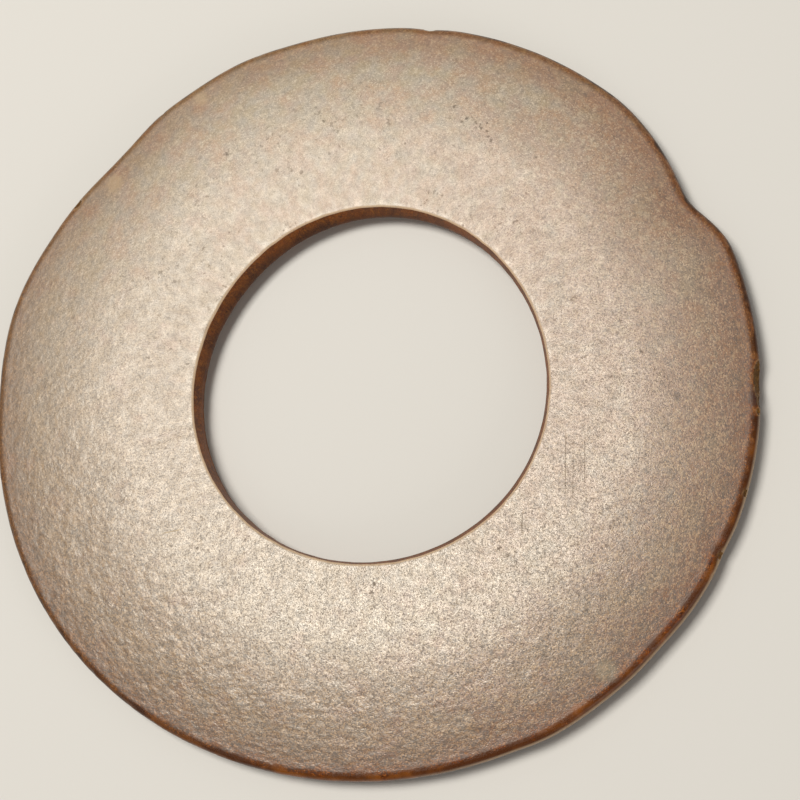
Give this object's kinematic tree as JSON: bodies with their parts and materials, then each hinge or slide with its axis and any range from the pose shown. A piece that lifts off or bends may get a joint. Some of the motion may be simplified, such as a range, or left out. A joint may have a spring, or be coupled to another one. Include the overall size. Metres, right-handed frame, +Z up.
{
  "type": "jade huan disc",
  "caption": "Flat ring of brown jade with a wide round hole, thickest beside the hole and thinning to a worn, rounded, notched edge.",
  "frame": {"origin": "under the middle of the ring's bounding box, on the surface that the ring lies on; the axis of the hole is 1.5 mm toward +X and 0.4 mm toward +Y of it", "axes": "+Z up out of the pictured face, along the axis of the hole; +Y toward the top of the ring as pictured, +X to its right, so the notch lies about 29 degrees counter-clockwise from +X"},
  "size_m": [0.1276, 0.1252, 0.0058],
  "materials": {
    "jade": "satin, waxy brown-grey patina over nephrite, amber where the edge is thin"
  },
  "bodies": {
    "root": {"huan_disc": "jade"}
  },
  "joints": []
}
